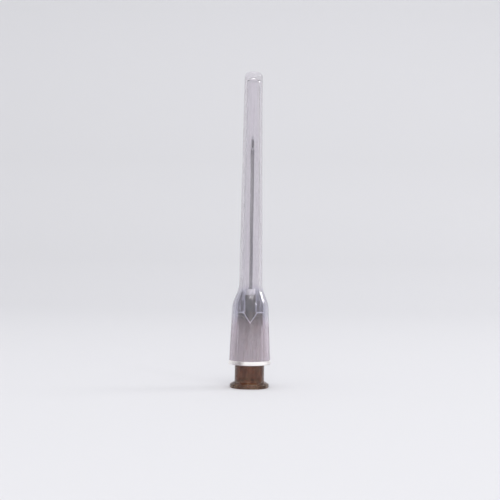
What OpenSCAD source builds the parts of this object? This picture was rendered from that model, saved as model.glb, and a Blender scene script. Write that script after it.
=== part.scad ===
// Hypodermic needle, 0.7 x 32 mm, with its protective sheath.
// A moulded Luer lock hub holds a bevelled steel tube in a bead of resin, and a clear fluted
// sheath pushes down over both. Origin at the middle of the hub's rear rim, +Z towards the point.

/* [Cannula] */
// Outside diameter of the steel tube
tube_od = 0.7; // [0.5:0.05:0.9]
// Inside diameter of the steel tube
tube_id = 0.41; // [0.26:0.01:0.45]
// Length of tube that stands out of the hub
tube_out_l = 32; // [16:1:38]
// Angle of the long bevel to the tube's axis
bevel_angle = 12; // [10:0.5:15]
// Angle of the two side grinds to the tube's axis
lancet_angle = 17; // [16:0.5:22]
// Turn of each side grind about the point
lancet_turn = 30; // [20:1:40]

/* [Hub lugs] */
// Diameter over the two lugs
lug_d = 7.8; // [7.6:0.05:8]
// Width over the flats between the lugs
lug_flats_w = 6.88; // [6.4:0.02:7.2]
// Height of the lugs' upright edge
lug_edge_h = 0.7; // [0.4:0.05:0.8]
// Height of the lugs' sloping flank
lug_flank_h = 0.55; // [0.4:0.05:1]
// Rounding of the rear edge of the lugs
lug_round = 0.25; // [0.1:0.01:0.35]

/* [Hub body] */
// Diameter of the bare barrel above the lugs
barrel_d = 5.9; // [5.6:0.05:6.2]
// Height of the bare barrel
barrel_h = 3.45; // [2.5:0.05:5]
// Diameter of the band that the sheath grips
band_d = 6.6; // [6.4:0.05:6.8]
// Height of the upright face of that band
band_h = 1.9; // [1:0.05:2.5]
// Height of the slope at each end of that band
band_slope_h = 0.2; // [0.1:0.05:0.4]
// Diameter of the cone at its foot
cone_foot_d = 6.15; // [5.8:0.05:6.3]
// Diameter of the cone at the ledge
cone_top_d = 4.9; // [4.6:0.02:5.2]
// Height of the cone
cone_h = 8.2; // [7.5:0.05:10]
// Diameter of the nose
nose_d = 2.9; // [2.6:0.05:3.2]
// Chamfer of the ledge's outer edge
ledge_chamfer = 0.15; // [0.05:0.05:0.25]
// Height of the nose above the ledge
nose_h = 3.2; // [2.6:0.05:3.6]
// Rounding of the nose's top edge
nose_round = 0.2; // [0.1:0.05:0.3]

/* [Hub fins and pockets] */
// Width over the two fins beside the nose
fins_w = 4.44; // [4:0.02:4.6]
// Thickness of a fin
fin_t = 1.2; // [0.6:0.05:1.6]
// Height of a fin above the ledge
fin_h = 2.2; // [1.6:0.05:2.4]
// Height of a fin's sloping shoulder
fin_slope_h = 0.15; // [0.05:0.05:0.4]
// Width of the vee-ended pockets in the cone, front and back
pocket_w = 2.6; // [2.2:0.05:3]
// Depth of a pocket's vee below the ledge
pocket_h = 2.3; // [1.5:0.05:2.8]
// Draft of a pocket's walls, in degrees
pocket_draft = 10; // [2:1:14]

/* [Luer socket] */
// Diameter of the socket at its mouth
socket_d = 4.3; // [4.27:0.005:4.315]
// Depth of the taper
socket_depth = 9; // [7.5:0.1:9.5]
// Taper of the socket on its diameter
socket_taper = 0.06; // [0.06:0.005:0.08]
// Chamfer at the mouth
socket_chamfer = 0.15; // [0.05:0.01:0.25]
// Height of the funnel that leads on to the tube
funnel_h = 1.8; // [1.2:0.05:2.2]
// Diameter of the throat that the tube's end stands on
throat_d = 0.5; // [0.46:0.01:0.55]
// Height of the throat
throat_h = 0.4; // [0.2:0.05:0.6]

/* [Resin] */
// Diameter of the resin well in the nose
well_d = 1.9; // [1.5:0.05:2]
// Depth of the resin well, with the cone at its foot
well_depth = 2.5; // [1.5:0.05:2.8]
// Height of the cone at the well's foot
well_cone_h = 0.5; // [0.3:0.05:0.8]
// Height of the bead above the nose
bead_h = 1.2; // [0.9:0.05:1.5]
// Glue line between the tube, the hub and the resin
glue_line = 0.01; // [0.005:0.005:0.02]

/* [Sheath foot] */
// Diameter of the rim
rim_d = 8.5; // [8.3:0.05:8.8]
// Height of the rim
rim_h = 0.8; // [0.6:0.05:1]
// Rounding of the rim's lower edge
rim_round = 0.2; // [0.1:0.05:0.3]
// Diameter of the fluted foot just above the rim
foot_d = 8.2; // [8:0.05:8.4]
// Diameter of the foot at its shoulder
foot_top_d = 7.3; // [7:0.05:7.6]
// Height of the sheath up to the shoulder
foot_h = 11; // [10.5:0.1:13]
// Height of the shoulder
shoulder_h = 5; // [4:0.1:6]
// Number of flutes
flutes = 20; // [12:1:36]
// Radius of a flute's round groove
flute_r = 0.3; // [0.2:0.01:0.4]
// Depth of a flute
flute_depth = 0.13; // [0.08:0.01:0.18]
// Plain height left between the flutes and the shoulder
flute_margin = 3.4; // [0.8:0.1:5]

/* [Sheath tube] */
// Diameter of the long tube where it leaves the shoulder
neck_d = 4.6; // [4.4:0.05:5]
// Diameter of the long tube at its closed end
tip_d = 3.6; // [3.2:0.05:3.8]
// Overall height of the sheath
sheath_h = 58.3; // [52:0.1:66]
// Rounding of the closed end
tip_round = 1; // [0.6:0.05:1.4]

/* [Sheath inside] */
// Running clearance between the band and the sheath's mouth, on the radius
grip_clearance = 0.05; // [0.02:0.01:0.08]
// Height of the parallel mouth
mouth_h = 3.3; // [2.5:0.1:5]
// Chamfer that leads the band into the mouth
mouth_chamfer = 0.2; // [0.1:0.05:0.3]
// Wall of the foot at its shoulder
foot_wall = 0.7; // [0.6:0.05:0.9]
// Wall of the long tube
tube_wall = 0.7; // [0.55:0.05:0.8]
// Thickness of the closed end
tip_wall = 1.1; // [0.8:0.05:1.6]
// Thickness of the four ribs that stop the sheath on the hub's ledge
rib_t = 0.6; // [0.4:0.05:0.8]
// Clearance between the ribs and the nose
rib_clearance = 0.27; // [0.2:0.01:0.35]

/* [Hidden] */
// Facets of a full circle
$fn = 96;
// Steps along the sheath's curved shoulder and its rounded end
curve_steps = 8;
round_steps = 5;
// Overshoot of a cut past the face that it leaves through
over = 1;

// Levels up the hub
lug_top_z = lug_edge_h + lug_flank_h;
barrel_top_z = lug_top_z + barrel_h;
band_low_z = barrel_top_z + band_slope_h;
band_high_z = band_low_z + band_h;
cone_low_z = band_high_z + band_slope_h;
ledge_z = cone_low_z + cone_h;
nose_top_z = ledge_z + nose_h;

// A pocket's walls stand this far from its middle, and spread this much over its whole cut
pocket_side = pocket_w * pocket_h / 2 / norm([pocket_w / 2, pocket_h]);
pocket_spread = 1 + cone_foot_d * tan(pocket_draft) / pocket_side;

// Levels of the way through the hub
funnel_top_z = socket_depth + funnel_h;
tube_seat_z = funnel_top_z + throat_h;
well_low_z = nose_top_z - well_depth;
socket_end_d = socket_d - socket_taper * socket_depth;
tube_bore_r = tube_od / 2 + glue_line;

// The cannula
tube_tip_z = nose_top_z + tube_out_l;
bevel_l = tube_od / tan(bevel_angle);

// The bead is a ball that meets the well's mouth below and the tube above
well_r = well_d / 2;
fill_r = well_r - glue_line;
bead_rise = (bead_h * bead_h + tube_bore_r * tube_bore_r - fill_r * fill_r) / (2 * bead_h);
bead_r = sqrt(fill_r * fill_r + bead_rise * bead_rise);

// The sheath, from its rim to its closed end
rim_z = barrel_top_z;
foot_low_z = rim_z + rim_h;
shoulder_z = rim_z + foot_h;
neck_z = shoulder_z + shoulder_h;
tip_z = rim_z + sheath_h;
mouth_r = band_d / 2 + grip_clearance;
foot_slope = atan((foot_d - foot_top_d) / 2 / (shoulder_z - foot_low_z));
flute_low_z = foot_low_z;
flute_l = (shoulder_z - foot_low_z - flute_margin) / cos(foot_slope);
rib_r = nose_d / 2 + rib_clearance;

// A stretch of outline from radius r0 at height z0 to r1 at z1, upright at both ends
function blend(r0, z0, r1, z1, steps) = [
    for (i = [0 : steps])
        let (t = i / steps)
        [r1 + (r0 - r1) * (1 + cos(180 * t)) / 2, z0 + (z1 - z0) * t]
];

// A quarter circle that turns a flat end at height z out to an upright wall of radius r above it
function rounded_foot(r, z, corner, steps) = [
    for (i = [0 : steps])
        let (a = 90 * i / steps)
        [r - corner + corner * sin(a), z + corner - corner * cos(a)]
];

// A quarter circle that turns an upright wall of radius r in to a flat end at height z
function rounded_end(r, z, corner, steps) = [
    for (i = [0 : steps])
        let (a = 90 * i / steps)
        [r - corner + corner * cos(a), z - corner + corner * sin(a)]
];

// The hub before anything is cut out of it
module hub_blank() {
    rotate_extrude()
        polygon(concat(
            [[0, 0]],
            rounded_foot(lug_d / 2, 0, lug_round, round_steps),
            [
                [lug_d / 2, lug_edge_h],
                [barrel_d / 2, lug_top_z],
                [barrel_d / 2, barrel_top_z],
                [band_d / 2, band_low_z],
                [band_d / 2, band_high_z],
                [cone_foot_d / 2, cone_low_z],
                [cone_top_d / 2, ledge_z - ledge_chamfer],
                [cone_top_d / 2 - ledge_chamfer, ledge_z],
                [nose_d / 2, ledge_z]
            ],
            rounded_end(nose_d / 2, nose_top_z, nose_round, round_steps),
            [[0, nose_top_z]]
        ));
}

// The two flats leave a lug on each side of the rear rim
module lug_flats() {
    for (side = [-1, 1])
        translate([0, side * (lug_flats_w + lug_d) / 2, lug_top_z / 2])
            cube([lug_d + over, lug_d, lug_top_z + over], center = true);
}

// The fins stand on the ledge beside the nose, and turn the hub when it is gripped there
module fins() {
    translate([0, fin_t / 2, ledge_z])
        rotate([90, 0, 0])
            linear_extrude(fin_t)
                polygon([
                    [-fins_w / 2, 0],
                    [fins_w / 2, 0],
                    [fins_w / 2, fin_h - fin_slope_h],
                    [fins_w / 2 - fin_slope_h, fin_h],
                    [fin_slope_h - fins_w / 2, fin_h],
                    [-fins_w / 2, fin_h - fin_slope_h]
                ]);
}

// Each pocket leaves a flat in line with the nose, ends below in a vee and opens outwards
module pockets() {
    for (side = [0, 180])
        rotate([0, 0, side])
            translate([0, -nose_d / 2, ledge_z])
                rotate([90, 0, 0])
                    linear_extrude(cone_foot_d, scale = pocket_spread)
                        polygon([
                            [-pocket_w / 2, over],
                            [-pocket_w / 2, 0],
                            [0, -pocket_h],
                            [pocket_w / 2, 0],
                            [pocket_w / 2, over]
                        ]);
}

// The way through: Luer taper, funnel, throat, the tube's bore and the resin well
module hub_passage() {
    rotate_extrude()
        polygon([
            [0, -over],
            [socket_d / 2 + socket_chamfer, -over],
            [socket_d / 2 + socket_chamfer, 0],
            [(socket_d - socket_taper * socket_chamfer) / 2, socket_chamfer],
            [socket_end_d / 2, socket_depth],
            [throat_d / 2, funnel_top_z],
            [throat_d / 2, tube_seat_z],
            [tube_bore_r, tube_seat_z],
            [tube_bore_r, well_low_z],
            [well_r, well_low_z + well_cone_h],
            [well_r, nose_top_z + over],
            [0, nose_top_z + over]
        ]);
}

module hub() {
    color([0.36, 0.22, 0.18])
        difference() {
            union() {
                hub_blank();
                fins();
            }
            lug_flats();
            pockets();
            hub_passage();
        }
}

// A flat grind through the point, at an angle to the axis and turned about the point
module grind(angle, turn) {
    reach = 2 * bevel_l;
    translate([0, tube_od / 2, tube_tip_z])
        rotate([0, 0, turn])
            rotate([-angle, 0, 0])
                translate([-reach / 2, -reach, -reach])
                    cube([reach, reach, 2 * reach]);
}

module cannula() {
    color([0.62, 0.63, 0.65])
        difference() {
            translate([0, 0, tube_seat_z])
                cylinder(d = tube_od, h = tube_tip_z - tube_seat_z);
            translate([0, 0, tube_seat_z - over])
                cylinder(d = tube_id, h = tube_tip_z - tube_seat_z + 2 * over);
            grind(bevel_angle, 0);
            grind(lancet_angle, lancet_turn);
            grind(lancet_angle, -lancet_turn);
        }
}

module epoxy_bead() {
    color([0.9, 0.9, 0.88])
        difference() {
            union() {
                translate([0, 0, well_low_z])
                    cylinder(r1 = tube_bore_r, r2 = fill_r, h = well_cone_h);
                translate([0, 0, well_low_z + well_cone_h])
                    cylinder(r = fill_r, h = well_depth - well_cone_h);
                intersection() {
                    translate([0, 0, nose_top_z + bead_rise])
                        sphere(r = bead_r);
                    translate([0, 0, nose_top_z])
                        cylinder(r = 2 * well_r, h = bead_h);
                }
            }
            translate([0, 0, well_low_z - over])
                cylinder(r = tube_bore_r, h = well_depth + bead_h + 2 * over);
        }
}

// The sheath's outside: rim, foot, shoulder, long tube and rounded end
module sheath_outside() {
    rotate_extrude()
        polygon(concat(
            [[0, rim_z]],
            rounded_foot(rim_d / 2, rim_z, rim_round, round_steps),
            [[foot_d / 2, foot_low_z]],
            blend(foot_top_d / 2, shoulder_z, neck_d / 2, neck_z, curve_steps),
            rounded_end(tip_d / 2, tip_z, tip_round, round_steps),
            [[0, tip_z]]
        ));
}

// The sheath's inside, from the mouth that grips the band to the rounded end above the point
module sheath_inside() {
    end_r = tip_d / 2 - tube_wall;
    rotate_extrude()
        polygon(concat(
            [
                [0, rim_z - over],
                [mouth_r + mouth_chamfer, rim_z - over],
                [mouth_r + mouth_chamfer, rim_z],
                [mouth_r, rim_z + mouth_chamfer],
                [mouth_r, rim_z + mouth_h]
            ],
            blend(foot_top_d / 2 - foot_wall, shoulder_z, neck_d / 2 - tube_wall, neck_z, curve_steps),
            rounded_end(end_r, tip_z - tip_wall, end_r, round_steps)
        ));
}

// Grooves round the foot, sloped with its taper and closed at the top by a ball end
module foot_flutes() {
    for (i = [0 : flutes - 1])
        rotate([0, 0, i * 360 / flutes])
            translate([foot_d / 2 + flute_r - flute_depth, 0, flute_low_z])
                rotate([0, -foot_slope, 0]) {
                    cylinder(r = flute_r, h = flute_l);
                    translate([0, 0, flute_l])
                        sphere(r = flute_r);
                }
}

// Four ribs hang between the fins and the pockets, and their feet stand on the hub's ledge
module stop_ribs() {
    intersection() {
        sheath_outside();
        difference() {
            for (turn = [45, 135])
                rotate([0, 0, turn])
                    translate([-foot_top_d / 2, -rib_t / 2, ledge_z])
                        cube([foot_top_d, rib_t, neck_z - ledge_z]);
            cylinder(r = rib_r, h = neck_z + over);
        }
    }
}

module sheath() {
    color([0.86, 0.86, 0.9, 0.5])
        difference() {
            union() {
                difference() {
                    sheath_outside();
                    sheath_inside();
                }
                stop_ribs();
            }
            foot_flutes();
        }
}

hub();
cannula();
epoxy_bead();
sheath();
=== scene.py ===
from math import atan2, cos, degrees, pi, radians, sin, sqrt, tan

import bmesh
import bpy
from mathutils import Matrix, Vector


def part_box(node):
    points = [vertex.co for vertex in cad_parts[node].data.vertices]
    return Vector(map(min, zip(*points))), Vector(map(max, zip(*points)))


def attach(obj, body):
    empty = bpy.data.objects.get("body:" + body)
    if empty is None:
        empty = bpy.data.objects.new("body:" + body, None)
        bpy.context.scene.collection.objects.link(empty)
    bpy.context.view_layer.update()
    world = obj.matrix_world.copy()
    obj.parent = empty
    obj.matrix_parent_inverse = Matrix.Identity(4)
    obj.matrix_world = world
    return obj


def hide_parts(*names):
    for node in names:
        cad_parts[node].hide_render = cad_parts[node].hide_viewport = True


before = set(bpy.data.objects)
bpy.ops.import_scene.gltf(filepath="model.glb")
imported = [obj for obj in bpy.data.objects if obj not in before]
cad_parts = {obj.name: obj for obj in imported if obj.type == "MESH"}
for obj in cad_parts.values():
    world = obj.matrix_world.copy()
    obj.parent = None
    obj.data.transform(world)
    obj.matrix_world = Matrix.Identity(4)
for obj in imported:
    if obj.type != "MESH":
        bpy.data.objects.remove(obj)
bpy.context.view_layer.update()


# Hub
# The hub is one injection moulding in smoky brown polypropylene. It is hollow from end to end:
# a Luer taper for the syringe below, a narrow bore for the steel tube above it, and a round well
# in the nose for the resin. Two lugs at its foot screw into the syringe's collar.

MM = 0.001
SPECK = 0.0005 * MM  # points closer than this are one point
NEAR = 0.02 * MM  # closer than this counts as on a surface
WELD = 0.008 * MM  # corners closer than this are joined before any rounding
ROUND_STEPS = 128  # faces round a full turn
CORNER_STEPS = 5  # faces round a turned corner
POLYPROPYLENE_IOR = 1.49

lug_r, lug_flat_y, nose_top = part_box("hub")[1]
lug_edge = 0.7 * MM
lug_top = 1.25 * MM
lug_round = 0.25 * MM
barrel_r = 2.95 * MM
barrel_top = 4.7 * MM
band_r = 3.3 * MM
band_slope = 0.2 * MM
band_top = 6.8 * MM
cone_foot_r = 3.075 * MM
cone_top_r = 2.45 * MM
ledge = nose_top - 3.2 * MM
ledge_chamfer = 0.15 * MM
nose_r = 1.45 * MM
nose_round = 0.2 * MM
fin_reach = 2.22 * MM
fin_thick = 1.2 * MM
fin_top = ledge + 2.2 * MM
fin_slope = 0.15 * MM
fin_root_r = nose_r - 0.3 * MM
fin_root = ledge - 0.2 * MM
pocket_half = 1.15 * MM
pocket_drop = 1.75 * MM
pocket_top = ledge + 1 * MM
pocket_draft = radians(10)
socket_r = 2.15 * MM
socket_lip_r = 2.145 * MM
socket_end_r = 1.88 * MM
socket_depth = 9 * MM
socket_chamfer = 0.15 * MM
throat_r = 0.25 * MM
funnel_top = 10.8 * MM
tube_seat = 11.2 * MM
tube_bore_r = 0.36 * MM
well_r = 0.95 * MM
well_low = nose_top - 2.5 * MM
well_cone = 0.5 * MM
hub_corner = 32  # degrees between faces that meet in a corner
corner_r = nose_r - 0.3 * MM  # corners further in than this stay sharp
corner_width = 0.04 * MM
shortest_corner = 0.01 * MM
highlight_r = nose_r - 0.1 * MM
highlight_low = ledge - pocket_drop - 0.5 * MM
highlight_high = fin_top + 0.1 * MM
highlight_width = 0.12 * MM


def arc(centre, radius, start, end, steps=CORNER_STEPS):
    """Points on a circle in the (r, z) half plane, from one angle to another in degrees."""
    turn = [radians(start + (end - start) * i / steps) for i in range(steps + 1)]
    return [(centre[0] + radius * cos(a), centre[1] + radius * sin(a)) for a in turn]


def as_object(name, bm):
    mesh = bpy.data.meshes.new(name)
    bm.to_mesh(mesh)
    bm.free()
    piece = bpy.data.objects.new(name, mesh)
    bpy.context.scene.collection.objects.link(piece)
    return piece


def turned(name, outline, steps=ROUND_STEPS):
    """A piece turned from a closed outline of (r, z) points."""
    bm = bmesh.new()
    points = [bm.verts.new((r, 0, z)) for r, z in outline]
    edges = [bm.edges.new(pair) for pair in zip(points, points[1:] + points[:1])]
    bmesh.ops.spin(
        bm, geom=points + edges, axis=(0, 0, 1), cent=(0, 0, 0), angle=2 * pi, steps=steps, use_merge=True
    )
    bmesh.ops.remove_doubles(bm, verts=bm.verts, dist=SPECK)
    bmesh.ops.recalc_face_normals(bm, faces=bm.faces)
    return as_object(name, bm)


def points_of(geom):
    return [part for part in geom if isinstance(part, bmesh.types.BMVert)]


def prism(name, outline, low_y, high_y, spread=1.0, centre=(0, 0, 0)):
    """A plate with an (x, z) outline at low_y, which grows by spread about a centre up to high_y."""
    bm = bmesh.new()
    face = bm.faces.new([bm.verts.new((x, low_y, z)) for x, z in outline])
    far = points_of(bmesh.ops.extrude_face_region(bm, geom=[face])["geom"])
    bmesh.ops.translate(bm, verts=far, vec=(0, high_y - low_y, 0))
    bmesh.ops.scale(bm, verts=far, vec=(spread, 1, spread), space=Matrix.Translation(-Vector(centre)))
    bmesh.ops.recalc_face_normals(bm, faces=bm.faces)
    return as_object(name, bm)


def carve(piece, tool, operation="DIFFERENCE"):
    """Cuts the tool out of the piece, or joins it on, and throws the tool away."""
    change = piece.modifiers.new("carve", "BOOLEAN")
    change.operation = operation
    change.solver = "EXACT"
    change.object = tool
    shaped = piece.evaluated_get(bpy.context.evaluated_depsgraph_get())
    finished = bpy.data.meshes.new_from_object(shaped)
    piece.modifiers.clear()
    piece.data = finished
    bpy.data.objects.remove(tool)


def soften(piece, width=0, angle=30, chosen=lambda edge: True, slot=0, segments=2):
    """Rounds the chosen sharp edges a little, as a mould leaves them, and shades the rest smooth."""
    bm = bmesh.new()
    bm.from_mesh(piece.data)
    bmesh.ops.remove_doubles(bm, verts=bm.verts, dist=WELD)
    bmesh.ops.dissolve_degenerate(bm, edges=bm.edges, dist=SPECK)
    if width:
        sharp = [e for e in bm.edges if e.is_manifold and e.calc_face_angle(0) > radians(angle)]
        rounded = bmesh.ops.bevel(
            bm,
            geom=[e for e in sharp if chosen(e)],
            offset=width,
            affect="EDGES",
            segments=segments,
            profile=0.5,
            material=-1,
            clamp_overlap=False,
        )
        for face in rounded["faces"]:
            face.material_index = slot
    for face in bm.faces:
        face.smooth = True
    for edge in bm.edges:
        edge.smooth = edge.calc_face_angle(0) < radians(angle)
    bm.to_mesh(piece.data)
    bm.free()


def shade_evenly(piece):
    """Keeps wide faces flat to the eye where they meet narrow rounded ones."""
    piece.modifiers.new("even_shading", "WEIGHTED_NORMAL").keep_sharp = True


# The outline runs up the outside from the flat foot and down the inside.
hub_outline = (
    arc((lug_r - lug_round, lug_round), lug_round, -90, 0)
    + [(lug_r, lug_edge), (barrel_r, lug_top), (barrel_r, barrel_top)]
    + [(band_r, barrel_top + band_slope), (band_r, band_top)]
    + [(cone_foot_r, band_top + band_slope), (cone_top_r, ledge - ledge_chamfer)]
    + [(cone_top_r - ledge_chamfer, ledge), (nose_r, ledge)]
    + arc((nose_r - nose_round, nose_top - nose_round), nose_round, 0, 90)
    + [(well_r, nose_top), (well_r, well_low + well_cone), (tube_bore_r, well_low)]
    + [(tube_bore_r, tube_seat), (throat_r, tube_seat), (throat_r, funnel_top)]
    + [(socket_end_r, socket_depth), (socket_lip_r, socket_chamfer), (socket_r + socket_chamfer, 0)]
)
hub = turned("luer_hub", hub_outline)

fin_outline = [
    (fin_root_r, fin_root),
    (fin_reach, fin_root),
    (fin_reach, fin_top - fin_slope),
    (fin_reach - fin_slope, fin_top),
    (fin_root_r, fin_top),
]
for side in (1, -1):
    fin = prism("fin", [(side * x, z) for x, z in fin_outline], -fin_thick / 2, fin_thick / 2)
    carve(hub, fin, "UNION")

# Each pocket is a vee that opens out from the nose, so that the mould can draw.
pocket_outline = [
    (-pocket_half, pocket_top),
    (-pocket_half, ledge),
    (0, ledge - pocket_drop),
    (pocket_half, ledge),
    (pocket_half, pocket_top),
]
pocket_reach = 2 * cone_foot_r
pocket_side = pocket_half * pocket_drop / sqrt(pocket_half**2 + pocket_drop**2)
pocket_spread = 1 + pocket_reach * tan(pocket_draft) / pocket_side
for side in (1, -1):
    start, end = side * nose_r, side * (nose_r + pocket_reach)
    carve(hub, prism("pocket", pocket_outline, start, end, pocket_spread, (0, 0, ledge)))

# The two flats on the lugs.
bm = bmesh.new()
bm.from_mesh(hub.data)
for side in (1, -1):
    cut = bmesh.ops.bisect_plane(
        bm,
        geom=bm.verts[:] + bm.edges[:] + bm.faces[:],
        dist=SPECK,
        plane_co=(0, side * lug_flat_y, 0),
        plane_no=(0, side, 0),
        clear_outer=True,
    )
    rim = [part for part in cut["geom_cut"] if isinstance(part, bmesh.types.BMEdge)]
    bmesh.ops.holes_fill(bm, edges=rim)
bm.to_mesh(hub.data)
bm.free()


def middle(edge):
    return (edge.verts[0].co + edge.verts[1].co) / 2


def thin(edge):
    """True for the sliver of the ledge in front of the nose, which is too thin to round."""
    at = middle(edge)
    return abs(at.z - ledge) < NEAR and abs(at.x) < pocket_half and abs(at.y) < nose_r + NEAR


def highlighted_corner(edge):
    """The outer corners of the pockets, the fins and the ledge, which get a painted highlight."""
    at = middle(edge)
    outside = at.xy.length > highlight_r and edge.calc_face_angle_signed(0) > 0
    return outside and not thin(edge) and highlight_low < at.z < highlight_high


def outer(edge):
    """The other outside corners, which are just off sharp."""
    plain = all(face.material_index == 0 for face in edge.link_faces)
    outside = middle(edge).xy.length > corner_r
    return plain and outside and not thin(edge) and edge.calc_length() > shortest_corner


soften(hub, highlight_width, angle=hub_corner, chosen=highlighted_corner, slot=1, segments=3)
soften(hub, corner_width, angle=hub_corner, chosen=outer)
shade_evenly(hub)


def grey(level):
    return (level, level, level)


class Finish:
    """A material under construction: its nodes, its links and its shader."""

    def __init__(self, name, **settings):
        self.material = bpy.data.materials.new(name)
        self.material.use_nodes = True
        self.nodes = self.material.node_tree.nodes
        self.links = self.material.node_tree.links
        self.shader = self.nodes["Principled BSDF"]
        self.place = self.nodes.new("ShaderNodeTexCoord").outputs["Object"]
        for socket, value in settings.items():
            self.shader.inputs[socket.replace("_", " ")].default_value = value

    def feed(self, value, socket):
        self.links.new(value, self.shader.inputs[socket])

    def grain(self, size, stretch=(1, 1, 1), detail=3, lean=0, start=0):
        """Noise with marks about this size in metres, drawn out along an axis, leaning or shifted."""
        mapping = self.nodes.new("ShaderNodeMapping")
        mapping.inputs["Scale"].default_value = [1 / s for s in stretch]
        mapping.inputs["Rotation"].default_value = (0, radians(lean), 0)
        mapping.inputs["Location"].default_value = (0, 0, start)
        self.links.new(self.place, mapping.inputs["Vector"])
        noise = self.nodes.new("ShaderNodeTexNoise")
        noise.inputs["Scale"].default_value = 1 / size
        noise.inputs["Detail"].default_value = detail
        self.links.new(mapping.outputs["Vector"], noise.inputs["Vector"])
        return noise.outputs["Fac"]

    def height(self):
        """How far up the piece a point is, in metres."""
        split = self.nodes.new("ShaderNodeSeparateXYZ")
        self.links.new(self.place, split.inputs["Vector"])
        return split.outputs["Z"]

    def spread(self, value, low, high, start=0.35, end=0.65):
        """Takes a value from start..end to low..high."""
        scale = self.nodes.new("ShaderNodeMapRange")
        self.links.new(value, scale.inputs["Value"])
        limits = {"From Min": start, "From Max": end, "To Min": low, "To Max": high}
        for socket, number in limits.items():
            scale.inputs[socket].default_value = number
        return scale.outputs["Result"]

    def blend(self, value, first, second):
        """A colour between two, by a value from 0 to 1."""
        mix = self.nodes.new("ShaderNodeMix")
        mix.data_type = "RGBA"
        self.links.new(value, mix.inputs["Factor"])
        mix.inputs["A"].default_value = (*first, 1)
        mix.inputs["B"].default_value = (*second, 1)
        return mix.outputs["Result"]

    def mottled(self, value, first, second, start=0.35, end=0.65):
        """A colour that wanders between two as a grain goes from start to end."""
        return self.blend(self.spread(value, 0, 1, start, end), first, second)

    def tinted(self, colour, tint):
        """One colour seen through another."""
        mix = self.nodes.new("ShaderNodeMix")
        mix.data_type = "RGBA"
        mix.blend_type = "MULTIPLY"
        mix.inputs["Factor"].default_value = 1
        self.links.new(colour, mix.inputs["A"])
        self.links.new(tint, mix.inputs["B"])
        return mix.outputs["Result"]

    def zones(self, low, high, stops):
        """A colour that changes from one height to another, by stops of (share, colour)."""
        ramp = self.nodes.new("ShaderNodeValToRGB")
        points = ramp.color_ramp.elements
        while len(points) < len(stops):
            points.new(0.5)
        for point, (share, colour) in zip(points, stops):
            point.position = share
            point.color = (*colour, 1)
        self.links.new(self.spread(self.height(), 0, 1, low, high), ramp.inputs["Fac"])
        return ramp.outputs["Color"]

    def relief(self, value, depth):
        """Raises the surface by up to this many metres where the value is 1."""
        bump = self.nodes.new("ShaderNodeBump")
        bump.inputs["Distance"].default_value = depth
        self.links.new(value, bump.inputs["Height"])
        self.feed(bump.outputs["Normal"], "Normal")

    def lamps_pass(self, tint):
        """Lets lamps light what is inside, as they do through real clear plastic."""
        clear = self.nodes.new("ShaderNodeBsdfTransparent")
        clear.inputs["Color"].default_value = (*tint, 1)
        ray = self.nodes.new("ShaderNodeLightPath")
        mix = self.nodes.new("ShaderNodeMixShader")
        self.links.new(ray.outputs["Is Shadow Ray"], mix.inputs["Fac"])
        self.links.new(self.shader.outputs["BSDF"], mix.inputs[1])
        self.links.new(clear.outputs["BSDF"], mix.inputs[2])
        self.links.new(mix.outputs["Shader"], self.nodes["Material Output"].inputs["Surface"])

    def absorb(self, colour, density):
        """Light grows darker, and takes this colour, on its way through the plastic."""
        volume = self.nodes.new("ShaderNodeVolumeAbsorption")
        volume.inputs["Color"].default_value = (*colour, 1)
        volume.inputs["Density"].default_value = density
        self.links.new(volume.outputs["Volume"], self.nodes["Material Output"].inputs["Volume"])


# Faint streaks where the melt flowed. The colour is also painted by height: the lugs lighter, as a painted
# highlight
# # where lamps catch their flank, and the nose and fins darker and bluish grey, as painted shade.
smoky = Finish("smoky_brown_plastic", Transmission_Weight=0.88, IOR=POLYPROPYLENE_IOR)
melt_flow = smoky.grain(0.9 * MM, stretch=(1, 1, 4), lean=35)
brown = smoky.mottled(melt_flow, (0.5, 0.24, 0.13), (0.95, 0.57, 0.33), start=0.42, end=0.58)
# Painted light: the lug tint is a painted highlight, the nose tint is painted shade.
lug_painted_highlight, cone_tint, nose_painted_shade = grey(1), (0.66, 0.6, 0.54), (0.26, 0.34, 0.48)
hub_tints_and_painted_light = [(0, lug_painted_highlight), (0.07, lug_painted_highlight), (0.09, cone_tint), (0.82, cone_tint), (0.84, nose_painted_shade)]
smoky.feed(smoky.tinted(brown, smoky.zones(0, nose_top, hub_tints_and_painted_light)), "Base Color")
smoky.feed(smoky.spread(smoky.grain(0.3 * MM), 0.03, 0.08), "Roughness")
smoky.relief(smoky.grain(0.25 * MM), 0.004 * MM)
smoky.lamps_pass((0.8, 0.7, 0.65))
smoky.absorb((0.70, 0.40, 0.18), 3000)
hub.data.materials.append(smoky.material)

# Painted highlight: the rounded outer corners are painted whitish, as if they caught the light.
edge_highlight_finish = Finish("painted_highlight_edge", Transmission_Weight=0.1, IOR=POLYPROPYLENE_IOR, Roughness=0.5)
edge_highlight_finish.feed(edge_highlight_finish.mottled(edge_highlight_finish.grain(0.1 * MM), (0.80, 0.77, 0.86), (0.92, 0.90, 0.96)), "Base Color")
hub.data.materials.append(edge_highlight_finish.material)
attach(hub, "needle")
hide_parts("hub")


# Cannula
# The cannula is a drawn stainless steel tube, 0.7 mm across. Its point is ground in three
# facets: one long bevel and two shorter side grinds that meet at the tip.

tube_low, tube_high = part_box("cannula")
tube_foot = tube_low[2]
tube_tip = tube_high[2]
tube_r = tube_high[0]
tube_inner_r = 0.205 * MM
tube_steps = 64
bevel_angle = 12
lancet_angle = 17
lancet_turn = 30
grinds = [(bevel_angle, 0), (lancet_angle, lancet_turn), (lancet_angle, -lancet_turn)]
wheel_reach = 8 * MM
same_way = 0.999  # the cosine between two directions that count as one

tube_outline = [(tube_r, tube_foot), (tube_r, tube_tip), (tube_inner_r, tube_tip), (tube_inner_r, tube_foot)]
cannula = turned("steel_cannula", tube_outline, steps=tube_steps)


def tilt(angle, turn):
    """The tilt of a ground facet, and its turn round the tube."""
    return Matrix.Rotation(radians(turn), 3, "Z") @ Matrix.Rotation(radians(-angle), 3, "X")


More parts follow.
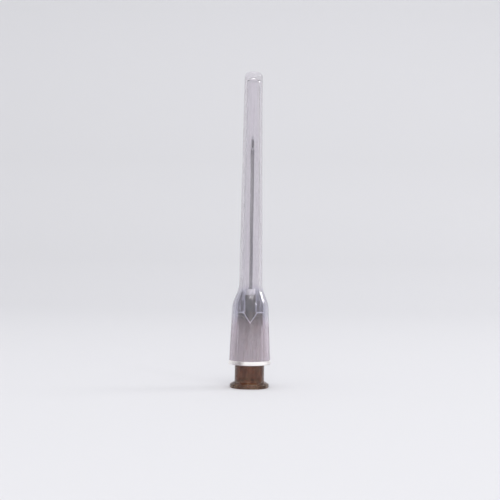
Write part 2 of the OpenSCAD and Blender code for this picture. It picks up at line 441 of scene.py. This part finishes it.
def grinding_wheel(angle, turn):
    """A block whose near face is the ground facet, through the very tip of the tube."""
    bm = bmesh.new()
    bmesh.ops.create_cube(bm, size=1)
    bmesh.ops.scale(bm, verts=bm.verts, vec=(wheel_reach, wheel_reach, 2 * wheel_reach))
    bmesh.ops.translate(bm, verts=bm.verts, vec=(0, -wheel_reach / 2, 0))
    bmesh.ops.rotate(bm, verts=bm.verts, cent=(0, 0, 0), matrix=tilt(angle, turn))
    bmesh.ops.translate(bm, verts=bm.verts, vec=(0, tube_r, tube_tip))
    return as_object("grinding_wheel", bm)


for angle, turn in grinds:
    carve(cannula, grinding_wheel(angle, turn))
soften(cannula)
shade_evenly(cannula)

steel = Finish("drawn_steel", Metallic=1)
draw_lines = steel.grain(0.04 * MM, stretch=(1, 1, 60))
steel.feed(steel.mottled(draw_lines, (0.29, 0.29, 0.305), (0.41, 0.41, 0.43)), "Base Color")
steel.feed(steel.spread(steel.grain(0.4 * MM, stretch=(1, 1, 5)), 0.14, 0.24), "Roughness")
steel.relief(draw_lines, 0.001 * MM)
cannula.data.materials.append(steel.material)

ground = Finish("ground_steel", Metallic=1)
wheel_marks = ground.grain(0.03 * MM, stretch=(40, 1, 1))
ground.feed(ground.mottled(wheel_marks, (0.34, 0.34, 0.36), (0.46, 0.46, 0.48)), "Base Color")
ground.feed(ground.spread(wheel_marks, 0.25, 0.4), "Roughness")
ground.relief(wheel_marks, 0.001 * MM)
cannula.data.materials.append(ground.material)
facets = [tilt(angle, turn) @ Vector((0, -1, 0)) for angle, turn in grinds]
for face in cannula.data.polygons:
    if max(face.normal.dot(facet) for facet in facets) > same_way:
        face.material_index = 1
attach(cannula, "needle")
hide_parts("cannula")


# Resin bead
# A drop of milky resin fills the well round the tube and stands above the nose as a round
# bead. It is poured liquid and cured, so its skin is smooth and glossy.

glue_line = 0.01 * MM
fill_r = well_r - glue_line
bead_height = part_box("epoxy_bead")[1][2] - nose_top
bead_rise = (bead_height**2 + tube_bore_r**2 - fill_r**2) / (2 * bead_height)
bead_r = sqrt(fill_r**2 + bead_rise**2)
bead_start = -degrees(atan2(bead_rise, fill_r))
bead_end = degrees(atan2(bead_height - bead_rise, tube_bore_r))
bead_steps = 12

bead_outline = (
    [(tube_bore_r, well_low), (fill_r, well_low + well_cone)]
    + arc((0, nose_top + bead_rise), bead_r, bead_start, bead_end, bead_steps)
)
bead = turned("resin_bead", bead_outline)
soften(bead)

resin = Finish("cured_resin", Transmission_Weight=0.25, IOR=1.55, Coat_Weight=0.4, Coat_Roughness=0.03)
cloud = resin.grain(0.3 * MM)
resin.feed(resin.mottled(cloud, (0.96, 0.94, 0.93), (1, 0.99, 0.99)), "Base Color")
resin.feed(resin.spread(cloud, 0.05, 0.12), "Roughness")
resin.relief(resin.grain(0.5 * MM, detail=1), 0.01 * MM)
resin.lamps_pass(grey(0.9))
bead.data.materials.append(resin.material)
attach(bead, "needle")
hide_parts("epoxy_bead")


# Sheath
# The sheath is one injection moulding in natural polypropylene, hazy and faintly cool, with a
# # whitish rim, its white partly painted light. Its matt fluted foot grips the hub's band, four ribs
# # inside it stop it on the hub's ledge, and the long tapered tube closes 12 mm above the point.

sheath_low, sheath_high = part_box("sheath")
rim_low = sheath_low[2]
rim_r = sheath_high[0]
rim_round = 0.2 * MM
rim_inner_r = rim_r - 0.2 * MM  # the white of the rim reaches in to here
flare_low = rim_low + rim_round
flare_shares = (0.08, 0.92)
foot_r = 4.1 * MM
foot_low = rim_low + 0.8 * MM
foot_top_r = 3.65 * MM
foot_rows = 48
shoulder = rim_low + 11 * MM
neck = shoulder + 5 * MM
neck_r = 2.3 * MM
shoulder_rows = 24
sheath_top = sheath_high[2]
tip_r = 1.8 * MM
tip_round = 1 * MM
tip_wall = 1.1 * MM
tip_steps = 8
wall = 0.7 * MM
mouth_r = 3.35 * MM
mouth_chamfer = 0.2 * MM
mouth_top = rim_low + 3.3 * MM
flutes = 20
flute_steps = 18  # faces across one flute
flute_r = 0.3 * MM
flute_depth = 0.13 * MM
flute_top = shoulder - 3.4 * MM
rib_count = 4
rib_thick = 0.6 * MM
rib_r = 1.72 * MM
rib_outer_r = foot_top_r - wall / 2


def between(low, high, share):
    return low + (high - low) * share


def foot_wall(share):
    """A point on the outside of the foot, at a share of its height."""
    return between(foot_r, foot_top_r, share), between(foot_low, shoulder, share)


def shoulder_curve(r_low, r_high):
    """The smooth step in from the foot to the long tube, upright at both ends."""
    shares = [i / shoulder_rows for i in range(shoulder_rows + 1)]
    return [(between(r_high, r_low, (1 + cos(pi * t)) / 2), between(shoulder, neck, t)) for t in shares]


# The outline runs up the outside from the rim and down the inside.
inner_tip_r = tip_r - wall
sheath_outline = (
    [(mouth_r + mouth_chamfer, rim_low)]
    + arc((rim_r - rim_round, flare_low), rim_round, -90, 0)
    + [(between(rim_r, foot_r, t), between(flare_low, foot_low, t)) for t in flare_shares]
    + [foot_wall(row / foot_rows) for row in range(foot_rows)]
    + shoulder_curve(foot_top_r, neck_r)
    + arc((tip_r - tip_round, sheath_top - tip_round), tip_round, 0, 90, tip_steps)
    + [(0, sheath_top), (0, sheath_top - tip_wall)]
    + arc((0, sheath_top - tip_wall - inner_tip_r), inner_tip_r, 90, 0, tip_steps)[1:]
    + shoulder_curve(foot_top_r - wall, neck_r - wall)[::-1]
    + [(mouth_r, mouth_top), (mouth_r, rim_low + mouth_chamfer)]
)
sheath = turned("sheath_moulding", sheath_outline, steps=flutes * flute_steps)

# Each flute is the track of a ball end that comes down the tapering foot.
for vert in sheath.data.vertices:
    radius, height = vert.co.xy.length, vert.co.z
    wall_r, _ = foot_wall((height - foot_low) / (shoulder - foot_low))
    if abs(radius - wall_r) > NEAR or not foot_low - NEAR < height < shoulder:
        continue
    around = (atan2(vert.co.y, vert.co.x) * flutes / (2 * pi) + 0.5) % 1 - 0.5
    aside = radius * sin(around * 2 * pi / flutes)
    above = max(0, height - flute_top)
    room = max(0, flute_r**2 - aside**2 - above**2)
    depth = max(0, sqrt(room) - (flute_r - flute_depth))
    vert.co.xy *= 1 - depth / radius

# The ribs stand inside the shoulder, and their feet come down on the hub's ledge. One is made
# across the axis, turned to a corner and repeated round.
rib_side = [(r, z) for r, z in shoulder_curve(rib_outer_r, neck_r - wall / 2) if r > rib_r]
rib_outline = [(rib_r, ledge), (rib_outer_r, ledge)] + rib_side + [(rib_r, rib_side[-1][1])]
ribs = prism("ribs", rib_outline, -rib_thick / 2, rib_thick / 2)
bm = bmesh.new()
bm.from_mesh(ribs.data)
bmesh.ops.rotate(bm, verts=bm.verts, cent=(0, 0, 0), matrix=Matrix.Rotation(pi / rib_count, 3, "Z"))
bmesh.ops.spin(
    bm,
    geom=bm.faces[:],
    axis=(0, 0, 1),
    cent=(0, 0, 0),
    angle=2 * pi * (rib_count - 1) / rib_count,
    steps=rib_count - 1,
    use_duplicate=True,
)
bm.to_mesh(ribs.data)
bm.free()
carve(sheath, ribs, "UNION")
soften(sheath)
shade_evenly(sheath)

# The haze is cloudiest on the matt foot and clear in the long tube. At the shoulder it is painted
# # darker and bluish: painted shade over the hub's nose seen through it.
lamp_tint = (0.88, 0.88, 0.9)
# Painted shade: the shoulder tint darkens and cools what is seen through the shoulder.
foot_tint, shoulder_painted_shade = (0.96, 0.90, 0.94), (0.81, 0.82, 0.87)
sheath_tints = [
    (0, foot_tint),
    (0.45, foot_tint),
    (0.6, shoulder_painted_shade),
    (0.85, shoulder_painted_shade),
    (1, grey(1)),
]
mattness = [(0, grey(0.28)), (0.35, grey(0.28)), (0.55, grey(0.1)), (1, grey(0.1))]
clearness = [
    (0, grey(0.76)),
    (0.3, grey(0.8)),
    (0.5, grey(0.91)),
    (0.6, grey(0.955)),
    (0.85, grey(0.955)),
    (1, grey(0.98)),
]
haze = Finish("natural_polypropylene", IOR=POLYPROPYLENE_IOR)
flow_lines = haze.grain(0.22 * MM, stretch=(1, 1, 45))
plain = haze.mottled(flow_lines, (0.82, 0.79, 0.83), (0.90, 0.88, 0.91))
haze.feed(haze.tinted(plain, haze.zones(foot_low, neck, sheath_tints)), "Base Color")
patches = haze.blend(haze.grain(0.6 * MM, stretch=(1, 1, 4)), grey(0.6), grey(1))
haze.feed(haze.tinted(haze.zones(foot_low, neck, mattness), patches), "Roughness")
streaks = haze.mottled(haze.grain(0.45 * MM, stretch=(1, 1, 30)), grey(0.89), grey(1), start=0.4, end=0.6)
haze.feed(haze.tinted(haze.zones(foot_low, neck, clearness), streaks), "Transmission Weight")
haze.relief(flow_lines, 0.012 * MM)
haze.lamps_pass(lamp_tint)
sheath.data.materials.append(haze.material)

# The rim is matt, and painted whitish partly as painted light, as if light gathered in the thick rim.
matt_rim_and_painted_light = Finish("matt_rim_and_painted_light", IOR=POLYPROPYLENE_IOR, Roughness=0.5)
# Painted highlight: large patches let less light through and read whiter; their offset puts the whitest one
# at the front, as a glint.
rim_painted_highlight = matt_rim_and_painted_light.grain(3 * MM, detail=1, start=5 * MM)
matt_rim_and_painted_light.feed(matt_rim_and_painted_light.spread(rim_painted_highlight, 0.8, 0.05, start=0.4, end=0.6), "Transmission Weight")
rim_white = matt_rim_and_painted_light.mottled(matt_rim_and_painted_light.grain(0.15 * MM), (0.93, 0.90, 0.89), (0.98, 0.96, 0.95))
matt_rim_and_painted_light.feed(rim_white, "Base Color")
matt_rim_and_painted_light.lamps_pass(lamp_tint)
sheath.data.materials.append(matt_rim_and_painted_light.material)
for face in sheath.data.polygons:
    if face.center.z < foot_low and face.center.xy.length > rim_inner_r:
        face.material_index = 1
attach(sheath, "sheath")
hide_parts("sheath")


# Floor, lamps and camera
# A pale seamless sweep, soft lamps in front, above and at the right, a small one for the glint
# on the shoulder, and a level camera.

sweep_half = 1.5
sweep_profile = [(-1.2, 0), (0.25, 0), (0.40, 0.02), (0.52, 0.09), (0.60, 0.22), (0.62, 0.45), (0.62, 1.6)]
bm = bmesh.new()
points = [bm.verts.new((-sweep_half, y, z)) for y, z in sweep_profile]
edges = [bm.edges.new(pair) for pair in zip(points, points[1:])]
far = points_of(bmesh.ops.extrude_edge_only(bm, edges=edges)["geom"])
bmesh.ops.translate(bm, verts=far, vec=(2 * sweep_half, 0, 0))
bmesh.ops.recalc_face_normals(bm, faces=bm.faces)
sweep = as_object("sweep", bm)
for face in sweep.data.polygons:
    face.use_smooth = True
backdrop = Finish("pale_backdrop", Base_Color=(0.76, 0.76, 0.79, 1), Roughness=0.9)
sweep.data.materials.append(backdrop.material)

scene = bpy.context.scene
scene.world = bpy.data.worlds.new("studio")
scene.world.use_nodes = True
sky = scene.world.node_tree.nodes["Background"]
sky.inputs["Color"].default_value = (1, 1, 1, 1)
sky.inputs["Strength"].default_value = 0.75

needle_middle = Vector((0, 0, 0.03))


def lamp(name, place, size, power):
    """A rectangular lamp that is aimed at the middle of the needle."""
    light = bpy.data.lights.new(name, "AREA")
    light.shape = "RECTANGLE"
    light.size, light.size_y = size
    light.energy = power
    holder = bpy.data.objects.new(name, light)
    holder.location = place
    holder.rotation_euler = (needle_middle - Vector(place)).to_track_quat("-Z", "Y").to_euler()
    scene.collection.objects.link(holder)


lamp("key", place=(0.06, -0.55, 0.68), size=(0.40, 0.25), power=1.7)
lamp("glint", place=(0.45, -0.54, 0.33), size=(0.07, 0.06), power=0.3)
lamp("side", place=(0.55, 0.15, 0.26), size=(0.20, 0.08), power=0.6)
lamp("top", place=(0.0, -0.05, 0.55), size=(0.30, 0.30), power=0.4)

scene.view_settings.view_transform = "Standard"
camera_data = bpy.data.cameras.new("camera")
camera_data.lens = 72
camera_data.sensor_width = 36
camera_data.clip_start = 0.01
camera = bpy.data.objects.new("camera", camera_data)
camera.location = (-0.24 * MM, -200 * MM, 27.44 * MM)
camera.rotation_euler = (pi / 2, radians(-0.85), 0)
scene.collection.objects.link(camera)
scene.camera = camera
